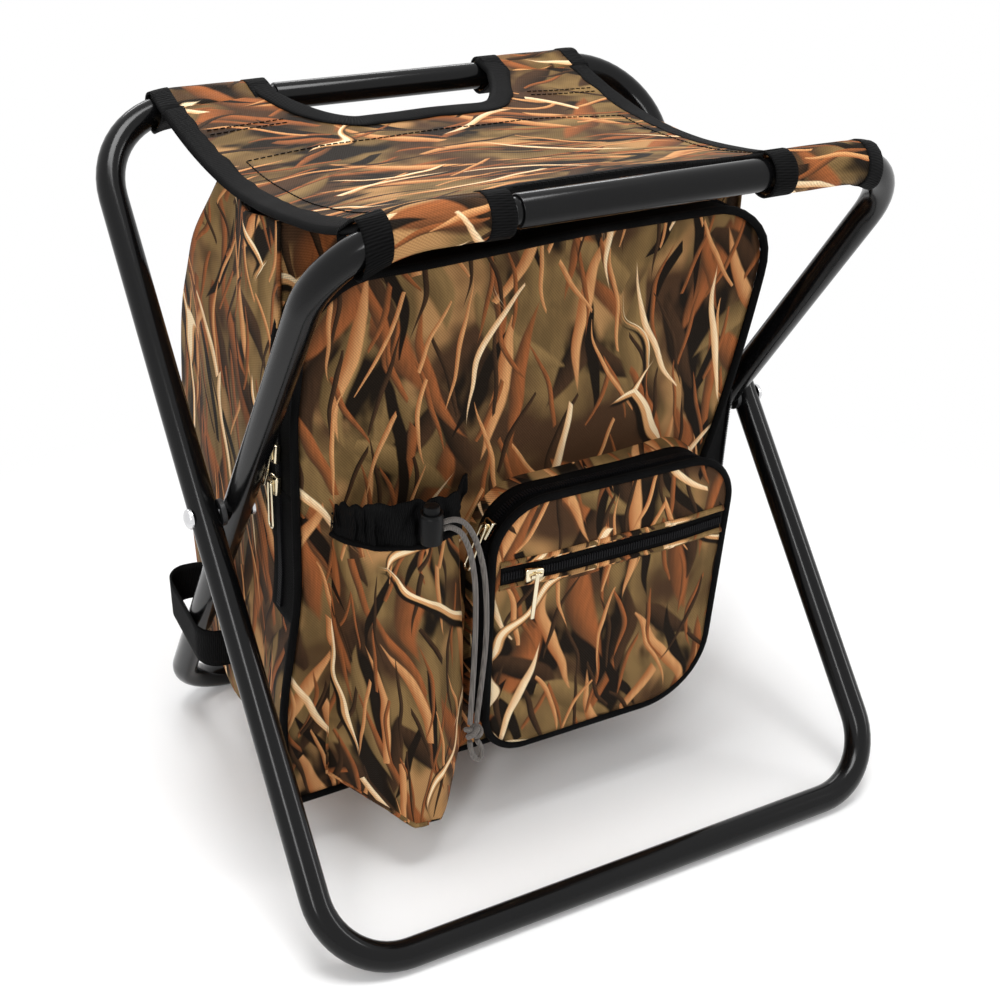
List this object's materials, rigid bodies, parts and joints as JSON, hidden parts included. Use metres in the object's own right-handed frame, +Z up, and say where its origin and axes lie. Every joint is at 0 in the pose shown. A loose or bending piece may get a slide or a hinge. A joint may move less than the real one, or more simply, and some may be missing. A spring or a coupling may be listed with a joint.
{
  "type": "folding cooler stool",
  "caption": "Folding stool of crossed tube loops with a sling seat and an insulated bag with zipped front flap, pocket and bottle pouch beneath.",
  "frame": {"origin": "on the floor, midway between the two foot bars", "axes": "+Z up, +X along the bars to the right, -Y to the pocket side"},
  "size_m": [0.381, 0.3238, 0.4023],
  "materials": {
    "black_tube": "gloss black powder coat on bent steel tube",
    "steel": "plated steel",
    "nylon": "black nylon washer",
    "camouflage": "coated woven polyester with a brown and tan camouflage",
    "black_cloth": "black polyester webbing, binding and zip tape",
    "foam": "closed-cell insulating foam",
    "foil": "wipe-clean silver liner",
    "zip_metal": "pale gold plated zip slider",
    "cord": "braided elastic cord",
    "black_plastic": "moulded black plastic"
  },
  "bodies": {
    "inner_frame": {"inner_frame_tube": "black_tube", "pivot_rivet_left": "steel", "pivot_rivet_right": "steel", "pivot_washer_left": "nylon", "pivot_washer_right": "nylon", "seat_panel": "camouflage", "seat_sleeve_front_left": "camouflage", "seat_sleeve_front_right": "camouflage"},
    "outer_frame": {"outer_frame_tube": "black_tube", "seat_sleeve_back_left": "camouflage", "seat_sleeve_back_right": "camouflage"},
    "bag": {"bag_left_side": "camouflage", "bag_right_side": "camouflage", "bag_top_panel": "camouflage", "bag_back_panel": "camouflage", "bag_bottom_panel": "camouflage", "bag_mouth_frame": "black_cloth", "bag_foam": "foam", "bag_liner": "foil", "bag_lower_front": "camouflage", "lower_piping": "black_cloth", "zip_gusset": "black_cloth", "zip_tape_bag": "black_cloth", "zip_tape_lower_left": "black_cloth", "zip_tape_lower_right": "black_cloth", "pocket_gusset": "camouflage", "pocket_zip_gusset": "black_cloth", "pouch_body": "camouflage", "pouch_collar": "black_cloth", "cord_lock_body": "black_plastic", "cord_lock_spring": "steel", "drawcord_right": "cord", "drawcord_left": "cord", "drawcord_knot": "cord", "drawcord_end_loop": "cord", "webbing_loop_left": "black_cloth", "webbing_loop_right": "black_cloth"},
    "lid": {"lid_flap": "camouflage", "lid_foam": "foam", "lid_liner": "foil", "lid_piping": "black_cloth", "zip_tape_lid": "black_cloth"},
    "pocket_lid": {"pocket_face": "camouflage", "pocket_piping": "black_cloth", "face_zip_tape": "black_cloth"},
    "upper_slider": {"upper_zip_slider": "zip_metal"},
    "upper_pull": {"upper_zip_pull": "zip_metal"},
    "lower_slider": {"lower_zip_slider": "zip_metal"},
    "lower_pull": {"lower_zip_pull": "zip_metal"},
    "pocket_slider": {"pocket_zip_slider": "zip_metal"},
    "pocket_pull": {"pocket_zip_pull": "zip_metal"},
    "face_slider": {"face_zip_slider": "zip_metal"},
    "face_pull": {"face_zip_pull": "zip_metal"},
    "lock_button": {"cord_lock_button": "black_plastic"}
  },
  "joints": [
    {"name": "fold", "type": "hinge", "parent": "inner_frame", "child": "outer_frame", "pos_m": [0, 0, 0.20658], "axis": [1, 0, 0], "range_deg": [0, 69], "deforming": ["seat_panel"]},
    {"name": "bag_swing", "type": "hinge", "parent": "inner_frame", "child": "bag", "pos_m": [0, 0, 0.20658], "axis": [1, 0, 0], "range_deg": [0, 30], "deforming": ["webbing_loop_left", "webbing_loop_right"]},
    {"name": "lid_open", "type": "hinge", "parent": "bag", "child": "lid", "pos_m": [0, -0.05061, 0.22737], "axis": [1, 0, 0], "range_deg": [0, 60]},
    {"name": "pocket_open", "type": "hinge", "parent": "bag", "child": "pocket_lid", "pos_m": [0, -0.07529, 0.05049], "axis": [1, 0, 0], "range_deg": [0, 60]},
    {"name": "upper_zip_travel", "type": "slide", "parent": "bag", "child": "upper_slider", "axis": [0, -0.0809, 0.9967], "range_m": [0, 0.045]},
    {"name": "upper_pull_swing", "type": "hinge", "parent": "upper_slider", "child": "upper_pull", "pos_m": [-0.147, -0.03087, 0.25606], "axis": [1, 0, 0], "range_deg": [-40, 40]},
    {"name": "lower_zip_travel", "type": "slide", "parent": "bag", "child": "lower_slider", "axis": [0, 0.0809, -0.9967], "range_m": [0, 0.07]},
    {"name": "lower_pull_swing", "type": "hinge", "parent": "lower_slider", "child": "lower_pull", "pos_m": [-0.147, -0.02885, 0.23114], "axis": [1, 0, 0], "range_deg": [-40, 40]},
    {"name": "pocket_zip_travel", "type": "hinge", "parent": "bag", "child": "pocket_slider", "pos_m": [-0.023, -0.07649, 0.19015], "axis": [0, -0.9967, -0.0809], "range_deg": [-50, 20]},
    {"name": "pocket_pull_swing", "type": "hinge", "parent": "pocket_slider", "child": "pocket_pull", "pos_m": [-0.04618, -0.07725, 0.19949], "axis": [-0.9272, -0.0303, 0.3734], "range_deg": [0, 60]},
    {"name": "face_zip_travel", "type": "slide", "parent": "pocket_lid", "child": "face_slider", "axis": [1, 0, 0], "range_m": [0, 0.115]},
    {"name": "face_pull_swing", "type": "hinge", "parent": "face_slider", "child": "face_pull", "pos_m": [-0.027, -0.08534, 0.17438], "axis": [0, -0.9967, -0.0809], "range_deg": [-45, 45]},
    {"name": "cord_lock_press", "type": "slide", "parent": "bag", "child": "lock_button", "axis": [0, 0.0809, -0.9967], "range_m": [0, 0.0025], "stiffness_N_per_m": 600, "springref_m": -0.002, "deforming": ["cord_lock_spring"]}
  ],
  "couplings": [
    {"joint": "bag_swing", "follows": "fold", "ratio": 0.433}
  ]
}
